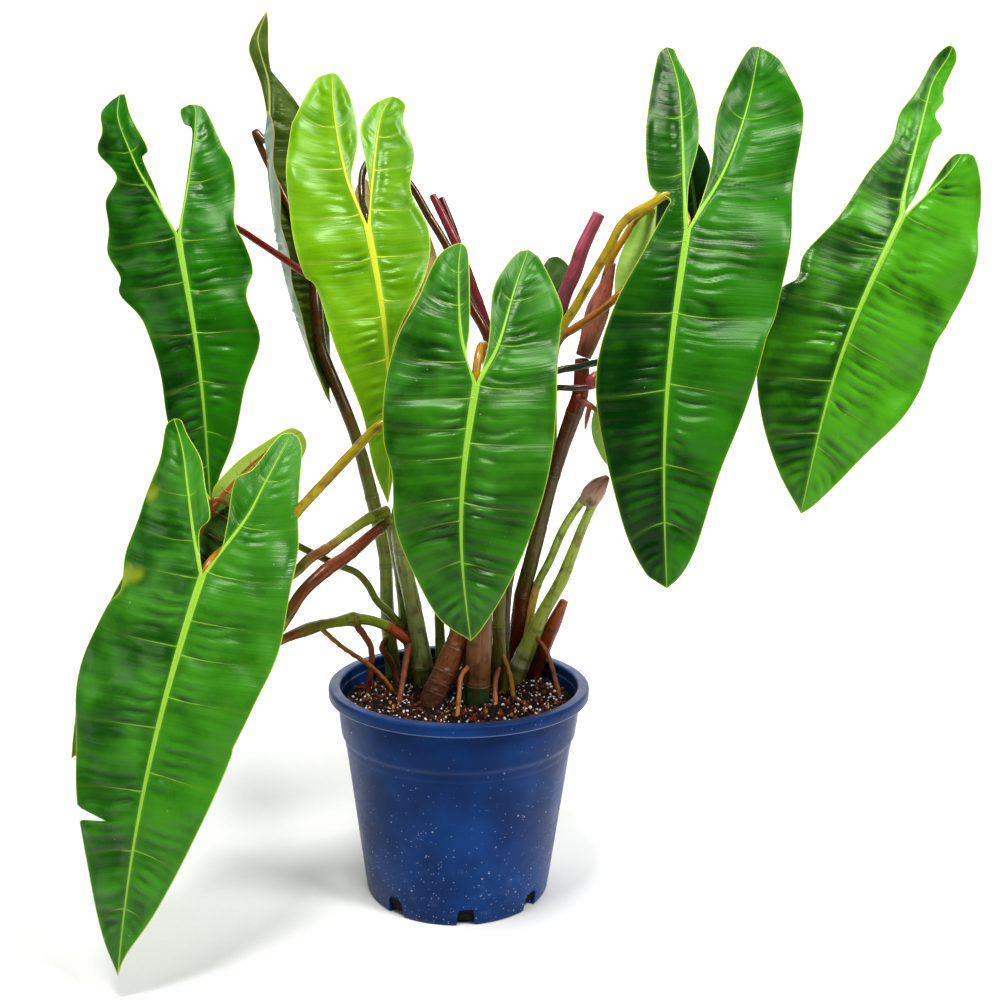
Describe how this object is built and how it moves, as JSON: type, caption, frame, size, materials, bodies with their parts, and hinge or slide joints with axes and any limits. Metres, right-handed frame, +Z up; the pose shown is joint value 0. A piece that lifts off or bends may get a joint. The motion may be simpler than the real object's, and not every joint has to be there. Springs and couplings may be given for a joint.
{
  "type": "potted philodendron plant",
  "caption": "Potted aroid house plant with long lobed, pendent green leaves on thin petioles, standing in soil in a round tapered blue nursery pot.",
  "frame": {"origin": "centre of the underside of the pot's base, on the surface the pot stands on", "axes": "+Z up, -Y towards the front of the plant, the side the large leaves show their upper faces to, +X to the viewer's right"},
  "size_m": [0.87, 0.4105, 0.8936],
  "materials": {
    "pot_plastic": "satin moulded navy plastic with white dust and scratches",
    "potting_mix": "dark damp bark mix with white perlite",
    "leaf_green": "glossy dark green blade, lime midrib, thin yellow margin",
    "leaf_lime": "glossy young lime blade, yellow midrib",
    "leaf_olive": "glossy olive blade, pale underside",
    "leaf_pale": "satin pale green underside",
    "petiole_gold": "smooth golden orange petiole",
    "stem_green": "smooth olive green stem with fine pale streaks",
    "stem_dark": "dark brown to maroon stem, satin",
    "stem_brown": "ringed brown stem, matt",
    "dry_sheath": "dry papery brown and pink sheath",
    "young_leaf": "rolled pink and maroon young leaf, satin",
    "aerial_root": "wrinkled reddish brown root"
  },
  "bodies": {
    "root": {"leaf_front": "leaf_green", "leaf_right": "leaf_green", "leaf_far_right": "leaf_green", "leaf_lower_left": "leaf_green", "leaf_upper_left": "leaf_green", "leaf_lime": "leaf_lime", "leaf_tall_back": "leaf_olive", "leaf_back_left": "leaf_green", "leaf_pale_right": "leaf_pale", "leaf_back_centre": "leaf_green", "leaf_lower_left_back": "leaf_green", "leaf_dark_right": "leaf_green", "trunk_lean": "stem_brown", "trunk_sheath": "dry_sheath", "stem_left": "stem_green", "stem_fork": "stem_dark", "stem_side": "stem_green", "fork_upper": "stem_green", "fork_lower": "stem_dark", "stem_right": "stem_dark", "pair_thick": "stem_green", "pair_thin": "stem_green", "cataphyll_right": "dry_sheath", "sheath_cap": "dry_sheath", "horn_sheath": "dry_sheath", "spear_pink": "young_leaf", "spear_maroon": "young_leaf", "spear_dark": "young_leaf", "petiole_tall_back": "stem_dark", "petiole_upper_left": "stem_dark", "petiole_lime": "stem_dark", "petiole_front": "petiole_gold", "petiole_lower_left": "petiole_gold", "petiole_right": "petiole_gold", "petiole_dark_right": "petiole_gold", "petiole_far_right": "stem_dark", "petiole_pale_right": "petiole_gold", "petiole_lower_left_back": "stem_green", "petiole_back_left": "stem_green", "petiole_back_centre": "stem_green", "root_side": "aerial_root", "root_side_tan": "aerial_root", "root_inner": "aerial_root", "root_node": "aerial_root", "root_front": "aerial_root", "root_pink": "aerial_root", "root_tan": "aerial_root", "root_right": "aerial_root", "root_reaching": "aerial_root", "root_tip_pink": "aerial_root", "rootlets_right": "aerial_root", "soil": "potting_mix", "pot": "pot_plastic"}
  },
  "joints": []
}
